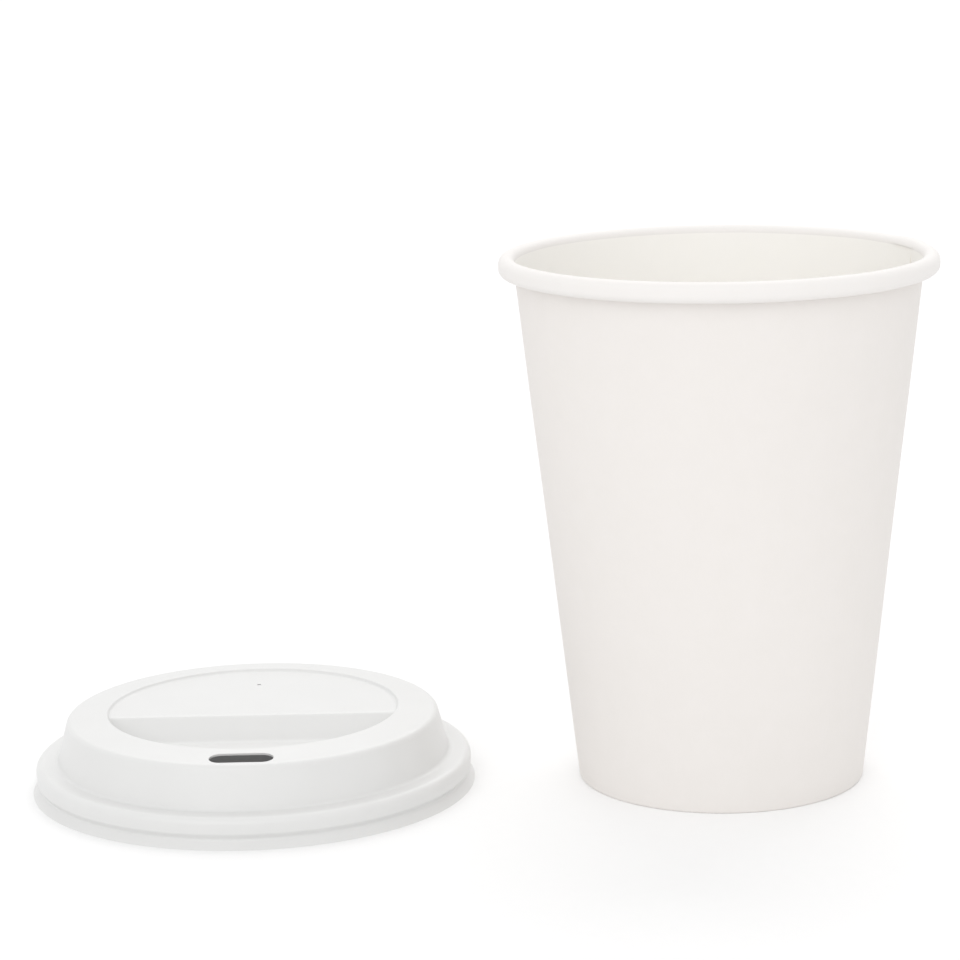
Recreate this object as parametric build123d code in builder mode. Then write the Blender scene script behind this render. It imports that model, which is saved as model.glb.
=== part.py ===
from build123d import *
import os
from math import acos, asin, atan2, cos, degrees, hypot, radians, sin, tan

# Takeaway coffee cup of coated paperboard, with its sip lid lying beside it.
# The origin is the middle of the foot ring, on the table. +Z is up, the drinking side of
# the lid points along -Y, and the lid lies at -X. All sizes are millimetres and degrees.

# Outline of the cup
cup_height = 110.4
rim_radius = 45.0
foot_radius = 29.8

# Paperboard of the wall, and the overlap of its side seam
wall_board = 0.4
seam_overlap = 8.0
seam_ramp = 2.5
seam_bearing = 17.0

# Rolled rim: its width, the straight stretch of its outside, the room between the wall and
# the end of the curl, and how far that end runs up and curls in
roll_width = 3.5
roll_straight = 0.8
roll_gap = 0.05
roll_tip = 0.5
roll_tip_bend = 0.6
roll_tip_angle = 110.0

# Foot: the hem that the wall is folded into, how far the fold is pressed flat, and the room
# on each side of the skirt that the hem holds
hem_height = 6.8
fold_press = 0.1
seal_gap = 0.03

# Base disc of thinner board, with its skirt turned down into the hem
base_board = 0.32
base_level = 8.2
base_bend = 0.9
skirt_clearance = 0.2

# Lid of thin formed plastic: outline, the level of the underside that sits on the rim, and
# the room between the rim and the skirt around it
lid_gap = 7.0
lid_sheet = 0.4
lid_radius = 46.5
lid_height = 15.8
seat_level = 5.95
seat_clearance = 0.3
shoulder_bend = 1.5

# Snap ridge in the lid's skirt: its grip under the roll, its level, its rise and its bend
snap_grip = 0.6
snap_level = 1.8
snap_rise = 1.2
snap_bend = 0.6

# Raised dome of the lid, which reaches into the cup's mouth
plug_clearance = 0.3
dome_radius = 38.8
dome_edge_bend = 1.3
dome_foot_bend = 0.9
ring_slope = 4.0

# Recess in the dome: a round dish with a flat panel at the back and a scoop in front
recess_radius = 30.6
recess_offset = 1.5
recess_draft = 20.0
recess_bend = 0.6
crest_bend = 0.35
panel_step = 0.8
panel_edge = 3.9
panel_bend = 1.2
step_run = 4.6
scoop_depth = 5.4
scoop_flat = 7.0
scoop_foot_bend = 2.2
scoop_rise_bend = 26.0

# Holes in the lid
sip_length = 13.0
sip_width = 5.0
sip_distance = 34.5
vent_diameter = 0.9
vent_distance = 21.0

# How far cutting shapes run past what they cut
cut_room = 5.0


def along(angle):
    """Unit vector in the section plane, at an angle from the X axis."""
    return Vector(cos(radians(angle)), sin(radians(angle)))


def moves_through(points, bends):
    """Start, heading and moves of a sheet that bends at each inner point of a line."""
    corners = [Vector(*point) for point in points]
    runs = [after - before for before, after in zip(corners, corners[1:])]
    headings = [degrees(atan2(run.Y, run.X)) for run in runs]
    turns = [(b - a + 180) % 360 - 180 for a, b in zip(headings, headings[1:])]
    trims = [bend * tan(radians(abs(turn)) / 2) for bend, turn in zip(bends, turns)]
    spent = [a + b for a, b in zip([0] + trims, trims + [0])]
    lengths = [run.length - used for run, used in zip(runs, spent)]
    return corners[0], headings[0], list(zip(lengths, turns + [0], bends + [0]))


def draw_side(start, heading, moves, depth):
    """Draws the side of a bent sheet that lies depth to the left of its face."""
    first = here = start + along(heading + 90) * depth
    for length, turn, bend in moves:
        here = PolarLine(here, length, heading) @ 1
        if turn:
            radius = bend - depth if turn > 0 else bend + depth
            here = JernArc(here, along(heading), radius, turn) @ 1
            heading += turn
    return first, here


def draw_sheet(start, heading, moves, thickness):
    """Draws both sides and both cut edges of a bent sheet."""
    face_start, face_end = draw_side(start, heading, moves, 0)
    back_start, back_end = draw_side(start, heading, moves, thickness)
    Line(face_start, back_start)
    Line(face_end, back_end)


# Lean of the wall, from the foot to the circle that the roll turns about
roll_radius = roll_width / 2
roll_level = cup_height - roll_radius
roll_reach = rim_radius - roll_radius - foot_radius
roll_bearing = degrees(atan2(roll_level, roll_reach))
wall_lean = degrees(acos((roll_radius - wall_board) / hypot(roll_reach, roll_level))) - roll_bearing
lean_sin = sin(radians(wall_lean))
lean_cos = cos(radians(wall_lean))


def wall_radius(level, depth):
    """Radius of the wall at a level, depth inside its outer face."""
    return foot_radius + level * lean_sin / lean_cos - depth / lean_cos


# Fold of the foot, round the base's skirt
fold_radius = wall_board + seal_gap + base_board / 2
fold_level = fold_radius - fold_press
fold_centre = Vector(wall_radius(fold_level, fold_radius), fold_level)
hem_length = (hem_height - fold_level) / lean_cos
hem_start = fold_centre - along(-wall_lean) * fold_radius + along(90 - wall_lean) * hem_length

# Curl of the rim, from its crest down and back to the wall
curl_level = roll_level - roll_straight
curl_span = (rim_radius - foot_radius) * lean_cos - curl_level * lean_sin - roll_gap
curl_radius = curl_span / (1 + lean_cos)

# One sheet makes the wall: down the hem, round the fold, up the wall and round the roll
wall_rise = roll_level - fold_level + (roll_radius - wall_board + fold_radius) * lean_sin
wall_moves = [
    (hem_length, 180, fold_radius),
    (wall_rise / lean_cos, wall_lean - 180, roll_radius - wall_board),
    (roll_straight, -180 - wall_lean, curl_radius - wall_board),
    (roll_tip, -roll_tip_angle, roll_tip_bend),
]

# Overlap of the seam, half to each side of its middle
seam_half = seam_overlap / 2
seam_root = wall_board / 2
seam_top = curl_level - curl_radius + wall_board


def seam_plane(level):
    """Level plane whose X axis points at the seam."""
    return Plane(origin=(0, 0, level), x_dir=along(seam_bearing), z_dir=(0, 0, 1))


def bearing(across, radius):
    """Angle of the point on a circle that lies this far across from the seam's middle."""
    return degrees(asin(across / radius))


def seam_layer(level):
    """Outer layer of the overlap at a level, from a long ramp to its cut edge."""
    root = wall_radius(level, seam_root)
    face = wall_radius(level, -wall_board)
    ramp_reach = seam_ramp * (wall_board + seam_root) / wall_board
    root_start = bearing(-seam_half - ramp_reach, root)
    face_start = bearing(-seam_half, face)
    with BuildSketch(seam_plane(level)) as layer:
        with BuildLine():
            back = CenterArc((0, 0), root, root_start, bearing(seam_half, root) - root_start)
            front = CenterArc((0, 0), face, face_start, bearing(seam_half, face) - face_start)
            Line(back @ 0, front @ 0)
            Line(back @ 1, front @ 1)
        make_face()
    return layer.sketch


def seam_notch(level):
    """Wedge of room inside, where the sheet lifts on to its own first edge."""
    room = wall_radius(level, 2 * wall_board)
    face = wall_radius(level, wall_board)
    lifted = wall_radius(level, 0)
    with BuildSketch(seam_plane(level)) as notch:
        with BuildLine():
            Polyline(
                along(bearing(-seam_half, lifted)) * lifted,
                along(bearing(-seam_half, room)) * room,
                along(bearing(-seam_half - seam_ramp, room)) * room,
                along(bearing(-seam_half - seam_ramp, face)) * face,
                close=True,
            )
        make_face()
    return notch.sketch


with BuildPart() as cup_wall:
    with BuildSketch(Plane.XZ):
        with BuildLine():
            draw_sheet(hem_start, -90 - wall_lean, wall_moves, wall_board)
        make_face()
        with Locations((fold_centre.X, 0)):
            Rectangle(cut_room, cut_room, align=(Align.CENTER, Align.MAX), mode=Mode.SUBTRACT)
    revolve(axis=Axis.Z)
    loft([seam_layer(fold_radius), seam_layer(seam_top)], ruled=True)
    loft([seam_notch(base_level), seam_notch(roll_level)], ruled=True, mode=Mode.SUBTRACT)
cup_wall.part.label = "cup_wall"

# Base of the cup: up its skirt, which leans with the wall, and in across the disc
skirt_foot = fold_level + skirt_clearance
skirt_depth = wall_board + seal_gap
base_corners = [
    (wall_radius(skirt_foot, skirt_depth), skirt_foot),
    (wall_radius(base_level, skirt_depth), base_level),
    (0, base_level),
]
with BuildPart() as cup_base:
    with BuildSketch(Plane.XZ):
        with BuildLine():
            draw_sheet(*moves_through(base_corners, [base_bend]), base_board)
        make_face()
    revolve(axis=Axis.Z)
cup_base.part.label = "cup_base"

# Face of the lid, from just below its cut edge up to the middle of the dome
skirt_radius = rim_radius + seat_clearance + lid_sheet
snap_radius = rim_radius - snap_grip + lid_sheet
plug_radius = rim_radius - roll_width - plug_clearance
ledge_level = seat_level + lid_sheet
crest_distance = recess_radius - recess_offset
ring_fall = tan(radians(ring_slope))
edge_level = lid_height - (dome_radius - crest_distance) * ring_fall
middle_level = edge_level + (dome_radius - recess_offset) * ring_fall
skirt_flare = (lid_radius - snap_radius) / snap_level
lid_corners = [
    (lid_radius + lid_sheet * skirt_flare, -lid_sheet),
    (snap_radius, snap_level),
    (skirt_radius, snap_level + snap_rise),
    (skirt_radius, ledge_level),
    (plug_radius, ledge_level),
    (dome_radius, edge_level),
    (recess_offset, middle_level),
]
lid_bends = [snap_bend, snap_bend, shoulder_bend, dome_foot_bend, dome_edge_bend]

# Floor of the recess, from behind the dish to in front of it
panel_level = lid_height - panel_step
scoop_level = lid_height - scoop_depth
panel_end = recess_offset - panel_edge
scoop_start = panel_end - step_run
scoop_turn = scoop_start - scoop_flat
scoop_slope = (panel_level - scoop_level) / (crest_distance + scoop_turn)
floor_end = crest_distance + 2 * cut_room
floor_corners = [
    (recess_radius + 2 * cut_room, panel_level),
    (panel_end, panel_level),
    (scoop_start, scoop_level),
    (scoop_turn, scoop_level),
    (-floor_end, scoop_level + (floor_end + scoop_turn) * scoop_slope),
]
floor_bends = [panel_bend, scoop_foot_bend, scoop_rise_bend]
recess_slope = tan(radians(recess_draft))


def dome_form(depth):
    """Solid under the lid's face, or under its underside when depth is the sheet."""
    with BuildPart() as form:
        with BuildSketch(Plane.XZ):
            with BuildLine():
                foot, middle = draw_side(*moves_through(lid_corners, lid_bends), depth)
                Polyline(foot, (foot.X, -cut_room), (0, -cut_room), (0, middle.Y), middle)
            make_face()
        revolve(axis=Axis.Z)
    return form.part


def recess_form(depth):
    """Room over the recess's floor, or over its underside when depth is the sheet."""
    bottom = scoop_level - cut_room
    top = lid_height + cut_room
    mouth = recess_radius + depth / cos(radians(recess_draft))
    with BuildPart() as form:
        with Locations((0, recess_offset, bottom)):
            Cone(
                mouth - (lid_height - bottom) * recess_slope,
                mouth + (top - lid_height) * recess_slope,
                top - bottom,
                align=(Align.CENTER, Align.CENTER, Align.MIN),
            )
        with BuildSketch(Plane.YZ):
            with BuildLine():
                back, front = draw_side(*moves_through(floor_corners, floor_bends), depth)
                Polyline(back, (back.X, top), (front.X, top), front)
            make_face()
        extrude(amount=2 * recess_radius, both=True, mode=Mode.INTERSECT)
        wall_edges = form.faces().filter_by(GeomType.CONE).edges()
        floor_edges = wall_edges.filter_by(lambda edge: (edge @ 0.5).Z < panel_level + panel_step / 2)
        fillet(floor_edges, radius=recess_bend + depth)
    return form.part


def lid_form(depth):
    """Solid under the whole face of the lid, or under its underside."""
    with BuildPart() as form:
        add(dome_form(depth))
        add(recess_form(depth), mode=Mode.SUBTRACT)
    return form.part


lid_place = Location((-rim_radius - lid_radius - lid_gap, 0, 0))
with BuildPart() as lid_face:
    add(lid_form(0))
    *walls, ring = lid_face.faces().filter_by(GeomType.CONE).sort_by(Axis.Z)
    fillet(ring.edges() & ShapeList(walls).edges(), radius=crest_bend)

with BuildPart() as lid:
    with Locations(lid_place):
        add(lid_face.part)
        add(lid_form(lid_sheet), mode=Mode.SUBTRACT)
        Cylinder(
            lid_radius + cut_room,
            2 * cut_room,
            align=(Align.CENTER, Align.CENTER, Align.MAX),
            mode=Mode.SUBTRACT,
        )
    with BuildSketch(Plane(lid_place).offset(ledge_level)):
        with Locations((0, -sip_distance)):
            SlotOverall(sip_length, sip_width)
        with Locations((0, vent_distance)):
            Circle(vent_diameter / 2)
    extrude(amount=lid_height, mode=Mode.SUBTRACT)
lid.part.label = "lid"

os.makedirs("parts", exist_ok=True)
for piece in (cup_wall, cup_base, lid):
    export_step(piece.part, f"parts/{piece.part.label}.step")
    print(piece.part.label, "volume", round(piece.part.volume), "mm3")
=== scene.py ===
"""Looks of a takeaway coffee cup and its sip lid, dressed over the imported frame.

Everything is in the row frame: metres, +Z up, the middle of the cup's foot ring at the origin,
and the lid lying flat at -X with its drinking side towards -Y. Angles are in degrees.
"""

import logging
import math
from bisect import bisect_left
from dataclasses import dataclass
from enum import Enum, auto
from typing import Callable, Sequence, Union

import bmesh
import bpy
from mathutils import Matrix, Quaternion, Vector, noise

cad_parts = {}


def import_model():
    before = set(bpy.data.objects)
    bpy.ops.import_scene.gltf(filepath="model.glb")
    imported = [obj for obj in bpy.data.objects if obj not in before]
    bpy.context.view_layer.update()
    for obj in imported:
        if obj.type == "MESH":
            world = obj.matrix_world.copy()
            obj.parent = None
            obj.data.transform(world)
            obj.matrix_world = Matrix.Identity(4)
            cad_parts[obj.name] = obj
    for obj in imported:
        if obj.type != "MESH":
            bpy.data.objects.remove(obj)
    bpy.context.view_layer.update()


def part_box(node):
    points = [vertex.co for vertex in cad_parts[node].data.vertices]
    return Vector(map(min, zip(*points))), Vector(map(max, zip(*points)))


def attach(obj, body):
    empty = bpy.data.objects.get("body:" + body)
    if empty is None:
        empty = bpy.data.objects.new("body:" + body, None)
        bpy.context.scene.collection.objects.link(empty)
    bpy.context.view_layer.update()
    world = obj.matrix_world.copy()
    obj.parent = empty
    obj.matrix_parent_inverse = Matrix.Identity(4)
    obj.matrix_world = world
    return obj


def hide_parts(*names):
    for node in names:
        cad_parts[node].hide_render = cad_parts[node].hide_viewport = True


MM = 0.001
BODY = "root"
LOG = logging.getLogger("coffee_cup")

Pair = tuple[float, float]
Colour = tuple[float, float, float]
Shape = tuple[list[Vector], list[Sequence[int]]]


def direction(angle: float) -> Pair:
    """Unit vector in a section, at an angle from its first axis."""
    return math.cos(math.radians(angle)), math.sin(math.radians(angle))


def smooth(share: float) -> float:
    """Share from 0 to 1, eased at both ends and held outside them."""
    held = min(1.0, max(0.0, share))
    return held * held * (3 - 2 * held)


def spread(low: float, high: float, count: int) -> list[float]:
    """Values evenly spaced from low to high, both included.

    Args:
        low: First value.
        high: Last value.
        count: How many values there are, two or more.

    Returns:
        The values in order.
    """
    return [low + (high - low) * step / (count - 1) for step in range(count)]


def wall_rise(beside: float, draft: float, bend: float) -> float:
    """Height of a steep wall over the flat at its foot, with the corner between them rounded.

    Args:
        beside: Distance from the corner, above 0 over the flat and below 0 under the wall.
        draft: Angle between the wall and the vertical.
        bend: Radius of the corner.

    Returns:
        Height over the flat.
    """
    lean = math.radians(draft)
    trim = bend * math.tan((math.pi / 2 - lean) / 2)
    if beside >= trim:
        return 0.0
    if beside <= -trim * math.sin(lean):
        return -beside / math.tan(lean)
    return bend - math.sqrt(bend**2 - (trim - beside) ** 2)


class Stretch(Enum):
    """Stretches of the cup's wall sheet, from its first edge to its last."""

    HEM = auto()
    FOLD = auto()
    WALL = auto()
    ROLL = auto()
    PLAIN = auto()


@dataclass(frozen=True)
class Station:
    """One place along the face of a bent sheet, in its section.

    Attributes:
        across: Distance along the section's first axis.
        level: Height.
        normal: Unit vector from the face to the sheet's other side.
        stretch: Stretch of the sheet that ends here or passes through here.
        share: How far along that stretch the place is, from 0 to 1.
    """

    across: float
    level: float
    normal: Pair
    stretch: Stretch
    share: float

    def at(self, depth: float) -> Pair:
        """Point that lies this deep in the sheet, or in front of its face if below 0."""
        return self.across + depth * self.normal[0], self.level + depth * self.normal[1]


class SheetPath:
    """Face of a bent sheet in its section, drawn with straight runs and round bends."""

    def __init__(self, start: Pair, heading: float, bend_step: float = 9.0) -> None:
        """Starts the sheet.

        Args:
            start: First point of the face.
            heading: Direction in which the sheet sets off.
            bend_step: Most that the sheet turns between two stations.
        """
        self.here = start
        self.heading = heading
        self.bend_step = bend_step
        self.stations: list[Station] = []
        self._mark(Stretch.PLAIN, 0.0)

    @classmethod
    def through(cls, corners: Sequence[Pair], bends: Sequence[float], bend_step: float = 9.0) -> "SheetPath":
        """Draws a sheet along a line of corners, rounded at each inner one.

        Args:
            corners: Points of the line, with the two ends.
            bends: Radius of the face at each inner corner.
            bend_step: Most that the sheet turns between two stations.

        Returns:
            The whole path.
        """
        runs = [(b[0] - a[0], b[1] - a[1]) for a, b in zip(corners, corners[1:])]
        headings = [math.degrees(math.atan2(rise, reach)) for reach, rise in runs]
        turns = [(b - a + 180) % 360 - 180 for a, b in zip(headings, headings[1:])]
        trims = [bend * math.tan(math.radians(abs(turn)) / 2) for bend, turn in zip(bends, turns)]
        path = cls(corners[0], headings[0], bend_step)
        for index, run in enumerate(runs):
            before = trims[index - 1] if index else 0.0
            after = trims[index] if index < len(trims) else 0.0
            path.straight(math.hypot(*run) - before - after, 3)
            if index < len(turns):
                path.bend(turns[index], bends[index])
        return path

    def _mark(self, stretch: Stretch, share: float) -> None:
        """Notes a station where the path has come to."""
        self.stations.append(Station(*self.here, direction(self.heading + 90), stretch, share))

    def straight(self, length: float, steps: int, stretch: Stretch = Stretch.PLAIN) -> None:
        """Runs straight on.

        Args:
            length: Length of the run.
            steps: Number of stations that it adds.
            stretch: Name of the run.
        """
        first, along = self.here, direction(self.heading)
        for step in range(1, steps + 1):
            share = step / steps
            self.here = (first[0] + along[0] * length * share, first[1] + along[1] * length * share)
            self._mark(stretch, share)

    def bend(self, turn: float, radius: float, stretch: Stretch = Stretch.PLAIN) -> None:
        """Turns round a bend.

        Args:
            turn: Angle of the bend, above 0 to the left.
            radius: Radius of the face.
            stretch: Name of the bend.
        """
        reach = math.copysign(radius, turn)
        first, side = self.heading, direction(self.heading + 90)
        centre = (self.here[0] + side[0] * reach, self.here[1] + side[1] * reach)
        steps = max(2, math.ceil(abs(turn) / self.bend_step))
        for step in range(1, steps + 1):
            self.heading = first + turn * step / steps
            side = direction(self.heading + 90)
            self.here = (centre[0] - side[0] * reach, centre[1] - side[1] * reach)
            self._mark(stretch, step / steps)


class Value:
    """Number that varies over a surface, so that node maths is written as an expression."""

    def __init__(self, graph: "Graph", socket: bpy.types.NodeSocket) -> None:
        """Wraps an output socket of a graph."""
        self.graph = graph
        self.socket = socket

    def _joined(self, operation: str, first: "Number", second: "Number") -> "Value":
        """Adds a Math node on two values."""
        made = self.graph.node("ShaderNodeMath", {"operation": operation}, {0: first, 1: second})
        return Value(self.graph, made.outputs[0])

    def __add__(self, other: "Number") -> "Value":
        return self._joined("ADD", self, other)

    def __radd__(self, other: "Number") -> "Value":
        return self._joined("ADD", other, self)

    def __sub__(self, other: "Number") -> "Value":
        return self._joined("SUBTRACT", self, other)

    def __rsub__(self, other: "Number") -> "Value":
        return self._joined("SUBTRACT", other, self)

    def __mul__(self, other: "Number") -> "Value":
        return self._joined("MULTIPLY", self, other)

    def __rmul__(self, other: "Number") -> "Value":
        return self._joined("MULTIPLY", other, self)

    def __truediv__(self, other: "Number") -> "Value":
        return self._joined("DIVIDE", self, other)

    def larger(self, other: "Number") -> "Value":
        """Larger of this value and another."""
        return self._joined("MAXIMUM", self, other)

    def bearing(self, across: "Number") -> "Value":
        """Angle, in radians, of the point that lies at this value up and another across."""
        return self._joined("ARCTAN2", self, across)

    def wave(self) -> "Value":
        """Sine of this value, which is in radians."""
        return self._joined("SINE", self, 0.0)


Number = Union[Value, float]


class Graph:
    """Nodes of one material or world."""

    def __init__(self, owner: Union[bpy.types.Material, bpy.types.World]) -> None:
        """Empties the owner's node tree, ready for new nodes."""
        owner.use_nodes = True
        self.tree = owner.node_tree
        self.tree.nodes.clear()

    def node(self, kind: str, settings: dict | None = None, inputs: dict | None = None) -> bpy.types.Node:
        """Adds a node.

        Args:
            kind: Blender's name for the node's type.
            settings: Attributes of the node, set before its sockets are used.
            inputs: Number, colour, Value or socket for each named or numbered input.

        Returns:
            The new node.
        """
        made = self.tree.nodes.new(kind)
        for name, setting in (settings or {}).items():
            setattr(made, name, setting)
        for key, given in (inputs or {}).items():
            source = given.socket if isinstance(given, Value) else given
            if isinstance(source, bpy.types.NodeSocket):
                self.tree.links.new(source, made.inputs[key])
            else:
                made.inputs[key].default_value = source
        return made

    def place(self) -> bpy.types.NodeSocket:
        """Place on the object, in metres, in the row frame."""
        return self.node("ShaderNodeTexCoord").outputs["Object"]

    def stretched(self, scale: Colour) -> bpy.types.NodeSocket:
        """Place on the object, stretched by a scale along each axis."""
        made = self.node("ShaderNodeMapping", inputs={"Vector": self.place(), "Scale": scale})
        return made.outputs["Vector"]

    def speckle(self, where: bpy.types.NodeSocket, grain: float, detail: float = 2.0) -> Value:
        """Cloudy noise.

        Args:
            where: Place on the object.
            grain: Size of the clouds, in metres.
            detail: How many finer layers the clouds have.

        Returns:
            A value about 0.5, from 0 to 1.
        """
        inputs = {"Vector": where, "Scale": 1 / grain, "Detail": detail}
        return Value(self, self.node("ShaderNodeTexNoise", inputs=inputs).outputs[0])

    def tint(self, share: Number, low: Colour, high: Colour) -> bpy.types.NodeSocket:
        """Colour between two others, at a share that varies over the surface."""
        inputs = {0: share, 6: (*low, 1.0), 7: (*high, 1.0)}
        return self.node("ShaderNodeMix", {"data_type": "RGBA"}, inputs).outputs[2]

    def bump(self, height: Number, depth: float) -> bpy.types.NodeSocket:
        """Normal of a surface whose height varies from 0 to 1 times a depth in metres."""
        made = self.node("ShaderNodeBump", inputs={"Height": height, "Distance": depth, "Strength": 1.0})
        return made.outputs["Normal"]

    def end(self, kind: str, shader: bpy.types.NodeSocket) -> None:
        """Joins a shader to the material's or the world's output."""
        self.node(kind, inputs={"Surface": shader})


def linear(colour: Colour) -> Colour:
    """Linear colour of a display colour whose parts run from 0 to 255."""
    parts = [part / 255 for part in colour]
    return tuple(p / 12.92 if p <= 0.04045 else ((p + 0.055) / 1.055) ** 2.4 for p in parts)


@dataclass(frozen=True)
class BoardFinish:
    """Paperboard, with the cloudy formation and the fine fibres of its face, and painted shade in the grooves of any
    pressed ribs.

    Attributes:
        name: Name of the material.
        light: Display colour where the sheet looks lightest.
        dark: Display colour in the clouds of its formation, and the painted shade in the grooves between ribs.
        roughness: Mean roughness.
        gloss: Specular level of the face.
        cloud: Size of the formation's clouds.
        fibre: Width of a bundle of fibres.
        relief: Height of the fibres.
        ribs: Number of pressed ribs round the sheet, 0 for none; their grooves are painted darker as shade.
        rib_relief: Height of those ribs.
    """

    name: str
    light: Colour
    dark: Colour
    roughness: float
    gloss: float = 0.35
    cloud: float = 5.5 * MM
    fibre: float = 0.5 * MM
    relief: float = 0.022 * MM
    ribs: int = 0
    rib_relief: float = 0.12 * MM

    def material(self) -> bpy.types.Material:
        """Builds the material."""
        made = bpy.data.materials.new(self.name)
        graph = Graph(made)
        place = graph.place()
        clouds = graph.speckle(place, self.cloud, 4.0)
        fibres = graph.speckle(graph.stretched((1.0, 1.0, 0.35)), self.fibre, 3.0)
        pits = graph.speckle(place, self.fibre * 3.5, 2.0)
        shade = clouds * 0.7 + fibres * 0.3
        normal = graph.bump(fibres * 0.6 + pits * 0.4, self.relief)
        if self.ribs:
            spot = graph.node("ShaderNodeSeparateXYZ", inputs={"Vector": place})
            east, north = (Value(graph, spot.outputs[axis]) for axis in ("X", "Y"))
            crimp_and_groove_shade = (north.bearing(east) * float(self.ribs)).wave() * 0.5 + 0.5
            # Painted shade: the grooves between the pressed ribs are tinted towards the dark colour.
            shade = shade * 0.4 + (1.0 - crimp_and_groove_shade) * 0.6
            pressed = graph.node(
                "ShaderNodeBump",
                inputs={"Height": crimp_and_groove_shade, "Distance": self.rib_relief, "Normal": normal, "Strength": 1.0},
            )
            normal = pressed.outputs["Normal"]
        shader = graph.node(
            "ShaderNodeBsdfPrincipled",
            inputs={
                "Base Color": graph.tint(shade, linear(self.light), linear(self.dark)),
                "Roughness": fibres * 0.12 + (self.roughness - 0.06),
                "Specular IOR Level": self.gloss,
                "Normal": normal,
            },
        )
        graph.end("ShaderNodeOutputMaterial", shader.outputs[0])
        return made


@dataclass(frozen=True)
class PlasticFinish:
    """Thin formed plastic with a satin face.

    Attributes:
        name: Name of the material.
        light: Display colour of the plain sheet.
        dark: Display colour where the sheet is a little thinner.
        roughness: Mean roughness.
        flow: Size of the soft waves that forming leaves.
        flow_relief: Height of those waves.
        grain: Size of the fine grain that the mould leaves.
        grain_relief: Height of that grain.
    """

    name: str
    light: Colour
    dark: Colour
    roughness: float = 0.34
    flow: float = 9.0 * MM
    flow_relief: float = 0.03 * MM
    grain: float = 0.45 * MM
    grain_relief: float = 0.004 * MM

    def material(self) -> bpy.types.Material:
        """Builds the material."""
        made = bpy.data.materials.new(self.name)
        graph = Graph(made)
        place = graph.place()
        flow = graph.speckle(place, self.flow, 1.0)
        grain = graph.speckle(place, self.grain, 2.0)
        height = flow * (self.flow_relief / MM) + grain * (self.grain_relief / MM)
        shader = graph.node(
            "ShaderNodeBsdfPrincipled",
            inputs={
                "Base Color": graph.tint(flow, linear(self.light), linear(self.dark)),
                "Roughness": grain * 0.1 + (self.roughness - 0.05),
                "Specular IOR Level": 0.45,
                "Normal": graph.bump(height, MM),
            },
        )
        graph.end("ShaderNodeOutputMaterial", shader.outputs[0])
        return made


BOARD = BoardFinish("board_outside", (240, 236, 233), (236, 232, 228), 0.66, gloss=0.2)
# Coated inside: its own white coating, with painted light on top, being made lighter than the outside board to
# brighten the inside of the cup.
COATED_WITH_PAINTED_LIGHT = BoardFinish("board_coated_with_painted_light", (252, 250, 247), (250, 248, 243), 0.5, gloss=0.3, relief=0.006 * MM)
# Coated face round the rolled rim, painted darker than the coated inside as painted shade on the rim.
ROLLED_PAINTED_SHADE = BoardFinish("board_rolled_painted_shade", (242, 239, 237), (239, 236, 233), 0.52, gloss=0.3, relief=0.008 * MM)
CUT_EDGE = BoardFinish("board_cut_edge", (245, 240, 232), (238, 232, 222), 0.85, gloss=0.1, relief=0.03 * MM)
# Crimped hem, whose rib grooves carry painted shade in its dark colour.
CRIMPED_GROOVE_SHADE = BoardFinish("board_crimped_groove_shade", (243, 239, 235), (222, 216, 209), 0.6, gloss=0.2, ribs=84)
LID_PLASTIC = PlasticFinish("lid_plastic", (227, 227, 226), (224, 224, 223))


class Piece:
    """Mesh of one piece, gathered face by face and then made into an object."""

    def __init__(self, name: str, node: str, slot: str, finishes: Sequence) -> None:
        """Starts an empty piece.

        Args:
            name: Name of the object.
            node: Node of the frame that it stands for.
            slot: Name of a material slot; not used.
            finishes: Finishes that its faces choose from.
        """
        self.name = name
        self.node = node
        self.slot = slot
        self.finishes = list(finishes)
        self.mesh = bmesh.new()

    def points(self, places: Sequence[Vector]) -> list[bmesh.types.BMVert]:
        """Adds points, and returns them in order."""
        return [self.mesh.verts.new(place) for place in places]

    def face(self, corners: Sequence[bmesh.types.BMVert], finish) -> None:
        """Adds a face with one of the piece's finishes."""
        made = self.mesh.faces.new(corners)
        made.material_index = self.finishes.index(finish)
        made.smooth = True

    def bridge(self, one: Sequence, other: Sequence, finish) -> None:
        """Joins two open lines of points by triangles and keeps their ends together.

        Args:
            one: Points of the first line, the same way round as the second.
            other: Points of the second line.
            finish: Finish of the new faces.
        """
        here = there = 0
        while here < len(one) - 1 or there < len(other) - 1:
            ahead = (here + 1) / max(1, len(one) - 1)
            beside = (there + 1) / max(1, len(other) - 1)
            if there == len(other) - 1 or (here < len(one) - 1 and ahead <= beside):
                self.face((one[here], one[here + 1], other[there]), finish)
                here += 1
            else:
                self.face((one[here], other[there + 1], other[there]), finish)
                there += 1

    def finish(self, crease: float = 40.0) -> bpy.types.Object:
        """Makes the object, which rides on the body and stands for its node.

        Args:
            crease: Angle between faces past which an edge stays sharp.

        Returns:
            The new object.
        """
        bmesh.ops.remove_doubles(self.mesh, verts=self.mesh.verts, dist=1e-7)
        bmesh.ops.dissolve_degenerate(self.mesh, edges=self.mesh.edges, dist=1e-7)
        bmesh.ops.recalc_face_normals(self.mesh, faces=self.mesh.faces)
        data = bpy.data.meshes.new(self.name)
        self.mesh.to_mesh(data)
        self.mesh.free()
        data.set_sharp_from_angle(angle=math.radians(crease))
        for finish in self.finishes:
            data.materials.append(finish.material())
        made = bpy.data.objects.new(self.name, data)
        bpy.context.scene.collection.objects.link(made)
        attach(made, BODY)
        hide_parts(self.node)
        return made


@dataclass(frozen=True)
class Column:
    """Line down the wall, at a set distance from the seam's middle or a share of the way round.

    Attributes:
        across: Distance from the seam's middle, or None off the seam.
        share: Share of the way round the rest of the cup, used off the seam.
        outer: How far the outer layer of the lap stands out.
        inner: How far the inside of the sheet has lifted off its first edge.
    """

    across: float | None = None
    share: float = 0.0
    outer: float = 0.0
    inner: float = 0.0


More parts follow.
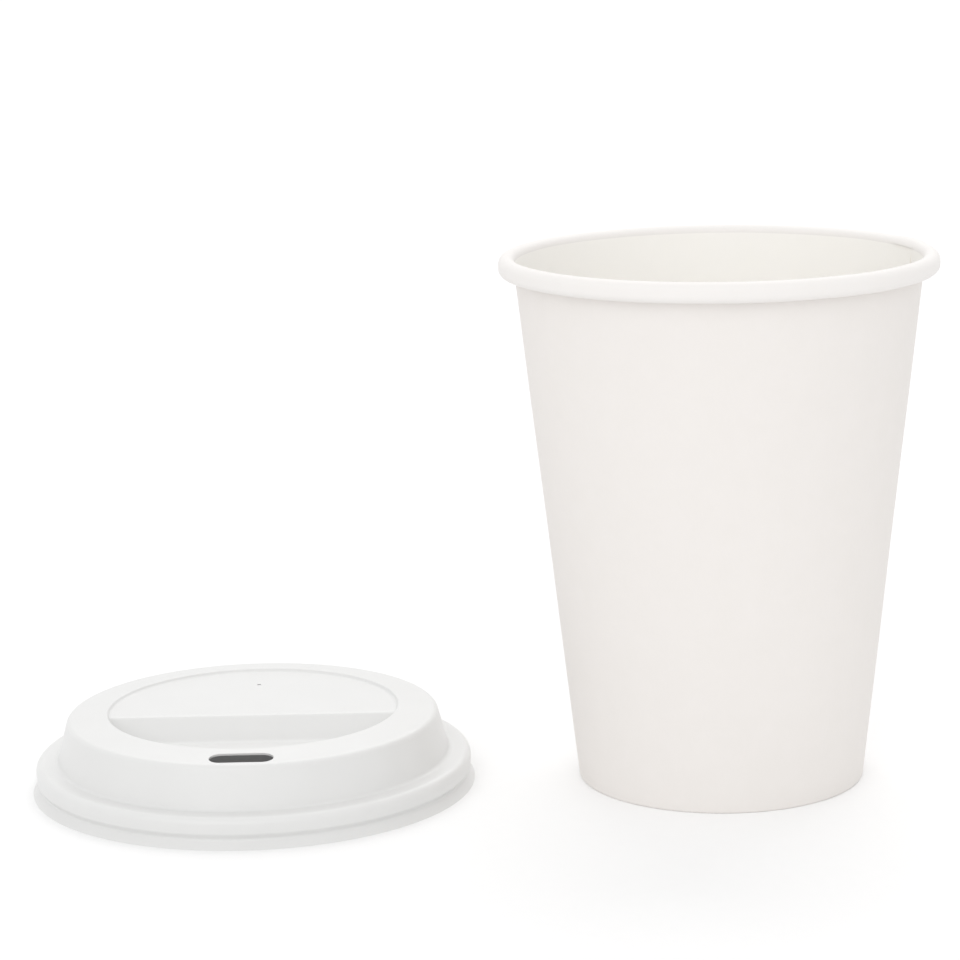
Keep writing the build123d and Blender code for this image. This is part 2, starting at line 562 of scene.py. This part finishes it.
@dataclass
class CupWall:
    """Wall of the cup: one sheet, hemmed at the foot, lapped at its seam and rolled at the rim.

    Attributes:
        height: Height of the cup.
        rim_radius: Radius outside the rolled rim.
    """

    height: float
    rim_radius: float
    foot_radius: float = 29.8 * MM
    board: float = 0.4 * MM
    seam_half: float = 4.0 * MM
    seam_ramp: float = 2.5 * MM
    seam_bearing: float = 17.0
    seam_lump: float = 0.22 * MM
    seam_press: float = 6.0 * MM
    roll_width: float = 3.5 * MM
    roll_straight: float = 0.8 * MM
    roll_gap: float = 0.05 * MM
    tip_run: float = 0.5 * MM
    tip_bend: float = 0.6 * MM
    tip_turn: float = 110.0
    hem_height: float = 6.8 * MM
    fold_radius: float = 0.59 * MM
    fold_press: float = 0.1 * MM
    ripple: float = 0.1 * MM
    rim_ripple: float = 0.05 * MM
    columns_round: int = 300

    def __post_init__(self) -> None:
        """Works out the lean of the wall, from the foot to the circle that the roll turns about."""
        self.roll_radius = self.roll_width / 2
        self.roll_level = self.height - self.roll_radius
        reach = self.rim_radius - self.roll_radius - self.foot_radius
        slope = math.acos((self.roll_radius - self.board) / math.hypot(reach, self.roll_level))
        self.lean = math.degrees(slope - math.atan2(self.roll_level, reach))
        self.lean_cos, self.lean_sin = direction(self.lean)
        self.fold_level = self.fold_radius - self.fold_press
        curl_level = self.roll_level - self.roll_straight
        span = (self.rim_radius - self.foot_radius) * self.lean_cos - curl_level * self.lean_sin
        self.curl_radius = (span - self.roll_gap) / (1 + self.lean_cos)
        self.seam_top = curl_level - self.curl_radius + self.board

    def radius(self, level: float, depth: float = 0.0) -> float:
        """Radius of the wall at a level, this deep inside its outer face."""
        return self.foot_radius + level * self.lean_sin / self.lean_cos - depth / self.lean_cos

    def section(self) -> list[Station]:
        """Stations of the sheet from the hem's edge, under the fold, up the wall and round the roll."""
        hem_length = (self.hem_height - self.fold_level) / self.lean_cos
        inward, up = direction(-self.lean), direction(90 - self.lean)
        centre = self.radius(self.fold_level, self.fold_radius)
        start = (
            centre - inward[0] * self.fold_radius + up[0] * hem_length,
            self.fold_level - inward[1] * self.fold_radius + up[1] * hem_length,
        )
        lift = (self.roll_radius - self.board + self.fold_radius) * self.lean_sin
        rise = (self.roll_level - self.fold_level + lift) / self.lean_cos
        top_run = (self.roll_level - self.seam_top) / self.lean_cos
        path = SheetPath(start, -90 - self.lean)
        path.straight(hem_length, 6, Stretch.HEM)
        path.bend(180, self.fold_radius, Stretch.FOLD)
        path.straight(rise - top_run, 26, Stretch.WALL)
        path.straight(0.05 * MM, 1, Stretch.PLAIN)
        path.straight(top_run - 0.05 * MM, 4, Stretch.PLAIN)
        path.bend(self.lean - 180, self.roll_radius - self.board, Stretch.ROLL)
        path.straight(self.roll_straight, 2, Stretch.ROLL)
        path.bend(-180 - self.lean, self.curl_radius - self.board, Stretch.ROLL)
        path.straight(self.tip_run, 1, Stretch.PLAIN)
        path.bend(-self.tip_turn, self.tip_bend, Stretch.PLAIN)
        return path.stations

    def columns(self) -> list[Column]:
        """Columns round the cup, close together over the lap and at its two cut edges."""
        edge = self.seam_half + self.seam_ramp
        ramp = [
            Column(across, outer=self.board * smooth(share), inner=self.board * smooth(share))
            for across, share in zip(spread(-edge, -self.seam_half, 9), spread(0, 1, 9))
        ]
        lap = [Column(across, outer=self.board) for across in spread(-self.seam_half, self.seam_half, 9)]
        beyond = [Column(across) for across in spread(self.seam_half, edge, 4)]
        rest = [Column(share=share) for share in spread(0, 1, self.columns_round)[1:-1]]
        return ramp + lap + beyond + rest

    def bearing(self, column: Column, radius: float) -> float:
        """Angle of a column at a radius, in radians."""
        middle = math.radians(self.seam_bearing)
        if column.across is not None:
            return middle + math.asin(column.across / radius)
        edge = math.asin((self.seam_half + self.seam_ramp) / radius)
        return middle + edge + column.share * (2 * math.pi - 2 * edge)

    def spot(self, station: Station, column: Column, back: bool) -> Vector:
        """Point of the sheet, with the lap, the lump it makes in the roll and the board's ripple.

        Args:
            station: Place along the sheet's section.
            column: Column round the cup.
            back: Whether the point is on the sheet's back, which is the inside of the cup.

        Returns:
            The point, in the row frame.
        """
        depth = self.board if back else 0.0
        if station.stretch in (Stretch.HEM, Stretch.FOLD, Stretch.WALL):
            depth -= 0.0 if back else column.outer
        if back and station.stretch in (Stretch.WALL, Stretch.PLAIN) and station.level > 0.5 * self.hem_height:
            depth -= column.inner * smooth((self.roll_level - station.level) / self.seam_press)
        if back and station.stretch is Stretch.ROLL and column.across is not None:
            depth += self.seam_lump * smooth(2 - abs(column.across) / (0.5 * self.seam_half + 0.5 * self.seam_ramp))
        radius, level = station.at(depth)
        angle = self.bearing(column, radius)
        turn = (math.cos(angle), math.sin(angle))
        share = min(1.0, max(0.0, level / self.height))
        swell = 4 * share * (1 - share)
        radius += self.ripple * swell * noise.noise(Vector((2.2 * turn[0], 2.2 * turn[1], 30 * level)))
        if share > 0.9:
            near = smooth((share - 0.9) * 20)
            level += self.rim_ripple * near * noise.noise(Vector((3 * turn[0], 3 * turn[1], 5.0)))
        return Vector((radius * turn[0], radius * turn[1], max(0.0, level)))

    def build(self) -> bpy.types.Object:
        """Builds the wall.

        Returns:
            The new object.
        """
        piece = Piece("cup_wall_board", "cup_wall", "board", (BOARD, COATED_WITH_PAINTED_LIGHT, ROLLED_PAINTED_SHADE, CUT_EDGE, CRIMPED_GROOVE_SHADE))
        stations, columns = self.section(), self.columns()
        loop = [(station, False) for station in stations] + [(station, True) for station in reversed(stations)]
        grid = [piece.points([self.spot(station, column, back) for station, back in loop]) for column in columns]
        for index, (column, line) in enumerate(zip(columns, grid)):
            following = grid[(index + 1) % len(grid)]
            step = columns[(index + 1) % len(columns)]
            cut = column.across is not None and column.across == step.across
            for row, (station, back) in enumerate(loop):
                below = (row + 1) % len(loop)
                if cut or back != loop[below][1]:
                    finish = CUT_EDGE
                elif back:
                    # The inside takes the coated finish with painted light, and the rim roll its darker copy with
                    # painted shade.
                    finish = ROLLED_PAINTED_SHADE if station.stretch is Stretch.ROLL else COATED_WITH_PAINTED_LIGHT
                else:
                    # The hem's finish paints shade into the grooves of its ribs.
                    finish = CRIMPED_GROOVE_SHADE if station.stretch in (Stretch.HEM,) else BOARD
                piece.face((line[row], following[row], following[below], line[below]), finish)
        return piece.finish()


@dataclass
class CupBase:
    """Base of the cup: a disc whose edge turns down into the hem of the wall."""

    wall: CupWall
    level: float
    board: float = 0.32 * MM
    bend: float = 0.9 * MM
    seal_gap: float = 0.03 * MM
    skirt_clearance: float = 0.2 * MM
    sag: float = 0.22 * MM
    columns_round: int = 240

    def build(self) -> bpy.types.Object:
        """Builds the base.

        Returns:
            The new object.
        """
        depth = self.wall.board + self.seal_gap
        foot = self.wall.fold_level + self.skirt_clearance
        corners = [
            (self.wall.radius(foot, depth), foot),
            (self.wall.radius(self.level, depth), self.level),
            (0.0, self.level),
        ]
        stations = SheetPath.through(corners, [self.bend]).stations
        flat = stations.pop()
        disc = [
            Station(reach, flat.level, flat.normal, Stretch.PLAIN, 1.0)
            for reach in spread(stations[-1].across, 0.0, 30)
        ]
        stations += disc[1:]
        piece = Piece("cup_base_board", "cup_base", "board", (BOARD, COATED_WITH_PAINTED_LIGHT, CUT_EDGE))
        loop = [(station, False) for station in stations] + [(station, True) for station in reversed(stations)]
        grid = []
        for turn in range(self.columns_round):
            ahead = direction(360 * turn / self.columns_round)
            line = []
            for station, back in loop:
                radius, level = station.at(self.board if back else 0.0)
                radius = max(0.0, radius)
                dish = self.sag * smooth(1 - radius / stations[0].across)
                line.append(Vector((radius * ahead[0], radius * ahead[1], level - dish)))
            grid.append(piece.points(line))
        middle = len(stations) - 1
        for index, line in enumerate(grid):
            following = grid[(index + 1) % len(grid)]
            for row in range(len(loop)):
                below = (row + 1) % len(loop)
                if row == middle:
                    continue
                # The top of the base, inside the cup, takes the coated finish with its painted light.
                finish = CUT_EDGE if below == 0 else (BOARD if loop[row][1] else COATED_WITH_PAINTED_LIGHT)
                piece.face((line[row], following[row], following[below], line[below]), finish)
        return piece.finish()


@dataclass
class SipLid:
    """Lid of thin formed plastic, which lies flat on the cut edge of its skirt.

    Attributes:
        centre: Distance of the lid's middle along X.
        radius: Radius of the skirt's edge.
        height: Height of the crest round the recess.
    """

    centre: float
    radius: float
    height: float
    sheet: float = 0.4 * MM
    snap_radius: float = 44.8 * MM
    snap_level: float = 1.8 * MM
    snap_rise: float = 1.2 * MM
    skirt_radius: float = 45.7 * MM
    ledge_level: float = 6.35 * MM
    plug_radius: float = 41.2 * MM
    dome_radius: float = 38.8 * MM
    ring_slope: float = 4.0
    recess_radius: float = 30.6 * MM
    recess_offset: float = 1.5 * MM
    recess_draft: float = 20.0
    recess_bend: float = 0.6 * MM
    crest_bend: float = 0.42 * MM
    panel_step: float = 0.8 * MM
    panel_edge: float = 3.9 * MM
    scoop_depth: float = 5.4 * MM
    step_run: float = 4.6 * MM
    scoop_flat: float = 7.0 * MM
    lip_step: float = 0.05 * MM
    floor_bends: tuple[float, ...] = (1.2 * MM, 2.2 * MM, 26 * MM, 10 * MM)
    floor_radius: float = 27.4 * MM
    sip_length: float = 13.0 * MM
    sip_width: float = 5.0 * MM
    sip_distance: float = 34.5 * MM
    vent_radius: float = 0.45 * MM
    vent_distance: float = 21.0 * MM
    columns_round: int = 240

    def __post_init__(self) -> None:
        """Works out the levels of the ring, the floor of the recess and its line from back to front."""
        crest = self.recess_radius - self.recess_offset
        self.ring_fall = math.tan(math.radians(self.ring_slope))
        self.edge_level = self.height - (self.dome_radius - crest) * self.ring_fall
        panel = self.height - self.panel_step
        scoop = self.height - self.scoop_depth
        panel_end = self.recess_offset - self.panel_edge
        scoop_start = panel_end - self.step_run
        lip = self.height - self.lip_step
        far = self.recess_radius + 10 * MM
        corners = [
            (far, panel),
            (panel_end, panel),
            (scoop_start, scoop),
            (scoop_start - self.scoop_flat, scoop),
            (-crest, lip),
            (-far, lip - (far - crest) * self.ring_fall),
        ]
        path = SheetPath.through(corners, self.floor_bends, bend_step=2.0)
        self.floor_line = sorted((station.across, station.level) for station in path.stations)
        self.slope_lines = (panel_end, scoop_start)

    def skirt(self) -> list[Station]:
        """Stations of the face from the cut edge, over the snap ridge and the ledge, up to the ring."""
        flare = (self.radius - self.snap_radius) / self.snap_level
        run_in = self.edge_level + self.recess_offset * self.ring_fall
        corners = [
            (self.radius, 0.0),
            (self.radius - flare * self.snap_level, self.snap_level),
            (self.skirt_radius, self.snap_level + self.snap_rise),
            (self.skirt_radius, self.ledge_level),
            (self.plug_radius, self.ledge_level),
            (self.dome_radius, self.edge_level),
            (self.dome_radius - self.recess_offset, run_in),
        ]
        bends = [0.6 * MM, 0.6 * MM, 1.5 * MM, 0.9 * MM, 1.3 * MM]
        return SheetPath.through(corners, bends).stations

    def floor_level(self, north: float) -> float:
        """Level of the recess's floor at a place from front to back."""
        index = min(max(1, bisect_left(self.floor_line, (north, 0.0))), len(self.floor_line) - 1)
        (low, low_level), (high, high_level) = self.floor_line[index - 1], self.floor_line[index]
        return low_level + (high_level - low_level) * (north - low) / (high - low)

    def top_level(self, east: float, north: float) -> float:
        """Level of the face inside the dome's edge: the ring, the dish's wall and its floor."""
        ring = self.edge_level + (self.dome_radius - math.hypot(east, north)) * self.ring_fall
        floor = self.floor_level(north)
        slope = math.tan(math.radians(self.recess_draft))
        beyond = math.hypot(east, north - self.recess_offset) - self.recess_radius
        wall = self.height + beyond / slope
        dish = floor + wall_rise((floor - wall) * slope, self.recess_draft, self.recess_bend)
        return ring - wall_rise((dish - ring) * slope, self.recess_draft, self.crest_bend)

    def bearings(self) -> list[float]:
        """Angles of the columns, even all round, with more where the floor's slope meets the dish."""
        even = [360 * (step + 0.5) / self.columns_round for step in range(self.columns_round)]
        low, high = self.slope_lines[1] - 1.6 * MM, self.slope_lines[0] + 1.1 * MM
        extra = []
        for north in spread(low, high, 30):
            tilt = math.degrees(math.asin((north - self.recess_offset) / self.floor_radius))
            extra += [tilt % 360, (180 - tilt) % 360]
        return sorted(even + extra)

    def rings(self) -> list[Pair]:
        """Radius and middle of each ring of points between the dome's edge and the floor."""
        start = self.dome_radius - 1.5 * MM
        out = self.recess_radius + 0.4 * MM
        top = self.recess_radius - 0.25 * MM
        foot = self.recess_radius - 2.5 * MM
        radii = spread(start, out, 8) + spread(out, top, 13)[1:] + spread(top, foot, 23)[1:]
        radii += spread(foot, self.floor_radius, 3)[1:]
        return [(radius, self.recess_offset * smooth((start - radius) / (start - out))) for radius in radii]

    def face_points(self, piece: Piece) -> tuple[list, list]:
        """Adds the points of the lid's face.

        Args:
            piece: Piece that takes the points.

        Returns:
            The rings of points from the cut edge inwards, and the rows of the floor from front to back.
        """
        turns = [direction(angle) for angle in self.bearings()]
        rings = []
        for station in self.skirt():
            if station.across > self.dome_radius - 1.2 * MM:
                rings.append(
                    piece.points([Vector((station.across * e, station.across * n, station.level)) for e, n in turns])
                )
        for radius, middle in self.rings():
            places = [(radius * east, middle + radius * north) for east, north in turns]
            rings.append(piece.points([Vector((x, y, self.top_level(x, y))) for x, y in places]))
        return rings, self.floor_rows(piece, rings[-1])

    def floor_rows(self, piece: Piece, edge: Sequence) -> list:
        """Adds the rows of points across the floor, between the two sides of its edge.

        Args:
            piece: Piece that takes the points.
            edge: Ring of points round the floor.

        Returns:
            The rows, each from -X to +X.
        """
        left = sorted((point for point in edge if point.co.x < 0), key=lambda point: point.co.y)
        right = sorted((point for point in edge if point.co.x > 0), key=lambda point: point.co.y)
        rows = []
        for one, other in zip(left, right):
            inner = max(0, round((other.co.x - one.co.x) / (0.55 * MM)) - 1)
            places = []
            for step in range(1, inner + 1):
                spot = one.co.lerp(other.co, step / (inner + 1))
                places.append(Vector((spot.x, spot.y, self.top_level(spot.x, spot.y))))
            rows.append([one, *piece.points(places), other])
        return rows

    def build(self) -> bpy.types.Object:
        """Builds the lid.

        Returns:
            The new object.
        """
        piece = Piece("lid_shell", "lid", "lid_plastic", (LID_PLASTIC,))
        rings, rows = self.face_points(piece)
        for outer, inner in zip(rings, rings[1:]):
            for index in range(len(outer)):
                after = (index + 1) % len(outer)
                piece.face((outer[index], outer[after], inner[after], inner[index]), LID_PLASTIC)
        for front, behind in zip(rows, rows[1:]):
            piece.bridge(front, behind, LID_PLASTIC)
        for row in (rows[0], rows[-1]):
            if len(row) > 2:
                piece.face(row, LID_PLASTIC)
        self.thicken(piece, rings[0])
        made = piece.finish(crease=50.0)
        self.cut(made, self.sip_tool())
        self.cut(made, self.vent_tool())
        made.data.transform(made.matrix_world.Translation(Vector((self.centre, 0, 0))))
        return made

    def thicken(self, piece: Piece, edge: Sequence) -> None:
        """Gives the face a back, one sheet deep, and closes the cut edge between them.

        Args:
            piece: Piece that holds the face alone.
            edge: Ring of points at the cut edge.
        """
        mesh = piece.mesh
        bmesh.ops.recalc_face_normals(mesh, faces=mesh.faces)
        mesh.normal_update()
        front = list(mesh.verts)
        faces = list(mesh.faces)
        down = sum(face.normal.z for face in faces) < 0
        inward = 1.0 if down else -1.0
        places = [point.co + point.normal * self.sheet * inward for point in front]
        back = dict(zip(front, piece.points(places)))
        for point in edge:
            back[point].co.z = 0.0
        for face in faces:
            piece.face([back[point] for point in reversed(face.verts)], LID_PLASTIC)
        for index, point in enumerate(edge):
            after = edge[(index + 1) % len(edge)]
            piece.face((point, back[point], back[after], after), LID_PLASTIC)

    def sip_tool(self) -> list[Pair]:
        """Outline of the sip hole: two straight sides and two round ends."""
        half, end = (self.sip_length - self.sip_width) / 2, self.sip_width / 2
        right = [direction(angle) for angle in spread(-90, 90, 25)]
        left = [direction(angle) for angle in spread(90, 270, 25)]
        outline = [(half + end * e, end * n) for e, n in right] + [(end * e - half, end * n) for e, n in left]
        return [(east, north - self.sip_distance) for east, north in outline]

    def vent_tool(self) -> list[Pair]:
        """Outline of the vent, a pin hole in the panel."""
        turns = [direction(angle) for angle in spread(0, 345, 24)]
        return [(self.vent_radius * e, self.vent_distance + self.vent_radius * n) for e, n in turns]

    def cut(self, lid: bpy.types.Object, outline: Sequence[Pair]) -> None:
        """Cuts a hole straight down through the top of the lid.

        Args:
            lid: Lid that is cut.
            outline: Points round the hole, anticlockwise from above.
        """
        shape = bmesh.new()
        low, high = 0.5 * self.height, 2 * self.height
        lower = [shape.verts.new((east, north, low)) for east, north in outline]
        upper = [shape.verts.new((east, north, high)) for east, north in outline]
        shape.faces.new(list(reversed(lower)))
        shape.faces.new(upper)
        for index in range(len(outline)):
            after = (index + 1) % len(outline)
            shape.faces.new((lower[index], lower[after], upper[after], upper[index]))
        data = bpy.data.meshes.new("hole_tool")
        shape.to_mesh(data)
        shape.free()
        tool = bpy.data.objects.new("hole_tool", data)
        bpy.context.scene.collection.objects.link(tool)
        change = lid.modifiers.new("hole", "BOOLEAN")
        change.operation = "DIFFERENCE"
        change.solver = "EXACT"
        change.object = tool
        seen = lid.evaluated_get(bpy.context.evaluated_depsgraph_get())
        old, new = lid.data, bpy.data.meshes.new_from_object(seen)
        lid.modifiers.clear()
        lid.data = new
        new.set_sharp_from_angle(angle=math.radians(50))
        bpy.data.meshes.remove(old)
        bpy.data.objects.remove(tool)
        bpy.data.meshes.remove(data)


@dataclass(frozen=True)
class Lamp:
    """Wide soft lamp, so far away that it lights the whole floor evenly.

    Attributes:
        name: Name of the lamp.
        place: Where it hangs, which only gives its direction.
        width: Angle across the lamp, seen from the object.
        strength: Light on a surface that faces it.
    """

    name: str
    place: Colour
    width: float
    strength: float

    def build(self) -> None:
        """Adds the lamp, turned to the object."""
        data = bpy.data.lights.new(self.name, "SUN")
        data.angle = math.radians(self.width)
        data.energy = self.strength
        lamp = bpy.data.objects.new(self.name, data)
        lamp.location = self.place
        lamp.rotation_mode = "QUATERNION"
        lamp.rotation_quaternion = (-Vector(self.place)).to_track_quat("-Z", "Y")
        bpy.context.scene.collection.objects.link(lamp)


@dataclass
class Studio:
    """White floor and surroundings, soft lamps, and the camera of the photograph."""

    camera_place: Colour = (-49.6 * MM, -629.3 * MM, 196.4 * MM)
    lens: float = 116.3
    pitch: float = 11.9
    roll: float = -1.24
    floor_size: float = 8.0
    daylight: float = 0.86
    lamps: tuple[Lamp, ...] = (
        Lamp("front_left", (-0.7, -1.15, 0.85), 40.0, 0.14),
        Lamp("front_middle", (-0.2, -1.3, 0.75), 50.0, 0.44),
        Lamp("back_high", (0.15, 0.9, 1.05), 50.0, 0.65),
    )

    def camera(self) -> None:
        """Adds the camera, level from side to side apart from the photograph's slight roll."""
        data = bpy.data.cameras.new("camera")
        data.sensor_width = 36.0
        data.lens = self.lens
        data.clip_start, data.clip_end = 0.01, 30.0
        camera = bpy.data.objects.new("camera", data)
        camera.location = self.camera_place
        camera.rotation_mode = "QUATERNION"
        ahead, down = direction(self.pitch)
        aim = Vector((0.0, ahead, -down)).to_track_quat("-Z", "Y")
        camera.rotation_quaternion = aim @ Quaternion((0, 0, 1), math.radians(self.roll))
        bpy.context.scene.collection.objects.link(camera)
        bpy.context.scene.camera = camera

    def seen(self, graph: Graph) -> Value:
        """Mask that is 1 for the rays that the camera sees, straight or by a reflection."""
        path = graph.node("ShaderNodeLightPath")
        straight, glossy, through = (
            Value(graph, path.outputs[name]) for name in ("Is Camera Ray", "Is Glossy Ray", "Is Transmission Ray")
        )
        return straight.larger(glossy).larger(through)

    def surroundings(self) -> None:
        """Makes a world that looks white and gives plain daylight."""
        world = bpy.data.worlds.new("surroundings")
        bpy.context.scene.world = world
        graph = Graph(world)
        white = (1.0, 1.0, 1.0, 1.0)
        day = graph.node("ShaderNodeBackground", inputs={"Color": white, "Strength": self.daylight})
        look = graph.node("ShaderNodeBackground", inputs={"Color": white, "Strength": 1.0})
        both = graph.node("ShaderNodeMixShader", inputs={0: self.seen(graph), 1: day.outputs[0], 2: look.outputs[0]})
        graph.end("ShaderNodeOutputWorld", both.outputs[0])

    def floor(self) -> None:
        """Adds the floor, which looks white where no shadow lies and is clear from below."""
        shape = bmesh.new()
        bmesh.ops.create_grid(shape, x_segments=1, y_segments=1, size=self.floor_size / 2)
        data = bpy.data.meshes.new("floor")
        shape.to_mesh(data)
        shape.free()
        material = bpy.data.materials.new("floor")
        graph = Graph(material)
        place = graph.place()
        grain = graph.speckle(place, 3 * MM, 2.0)
        shade = graph.tint(grain, (0.88, 0.88, 0.88), (0.87, 0.87, 0.87))
        card = graph.node("ShaderNodeBsdfDiffuse", inputs={"Color": shade})
        glow = graph.node("ShaderNodeEmission", inputs={"Color": (1.0, 1.0, 1.0, 1.0), "Strength": 0.1})
        lit = graph.node("ShaderNodeAddShader", inputs={0: card.outputs[0], 1: glow.outputs[0]})
        top = graph.node("ShaderNodeMixShader", inputs={0: self.seen(graph), 1: card.outputs[0], 2: lit.outputs[0]})
        clear = graph.node("ShaderNodeBsdfTransparent")
        under = graph.node("ShaderNodeNewGeometry").outputs["Backfacing"]
        both = graph.node("ShaderNodeMixShader", inputs={0: under, 1: top.outputs[0], 2: clear.outputs[0]})
        graph.end("ShaderNodeOutputMaterial", both.outputs[0])
        data.materials.append(material)
        floor = bpy.data.objects.new("floor", data)
        bpy.context.scene.collection.objects.link(floor)

    def build(self) -> None:
        """Builds the whole studio."""
        bpy.context.scene.view_settings.view_transform = "Standard"
        self.surroundings()
        self.floor()
        for lamp in self.lamps:
            lamp.build()
        self.camera()


def main() -> None:
    """Loads the frame, dresses each piece and sets up the studio."""
    logging.basicConfig(level=logging.INFO, format="%(message)s")
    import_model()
    cup_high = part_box("cup_wall")[1]
    lid_low, lid_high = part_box("lid")
    lid_radius = (lid_high.x - lid_low.x) / 2
    wall = CupWall(height=cup_high.z, rim_radius=cup_high.x)
    base = CupBase(wall=wall, level=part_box("cup_base")[1].z)
    lid = SipLid(centre=(lid_low.x + lid_high.x) / 2, radius=lid_radius, height=15.8 * MM)
    for part in (wall, base, lid):
        made = part.build()
        LOG.info("%s: %d faces, %s", made.name, len(made.data.polygons), type(part).__name__)
    Studio().build()


if __name__ == "__main__":
    main()
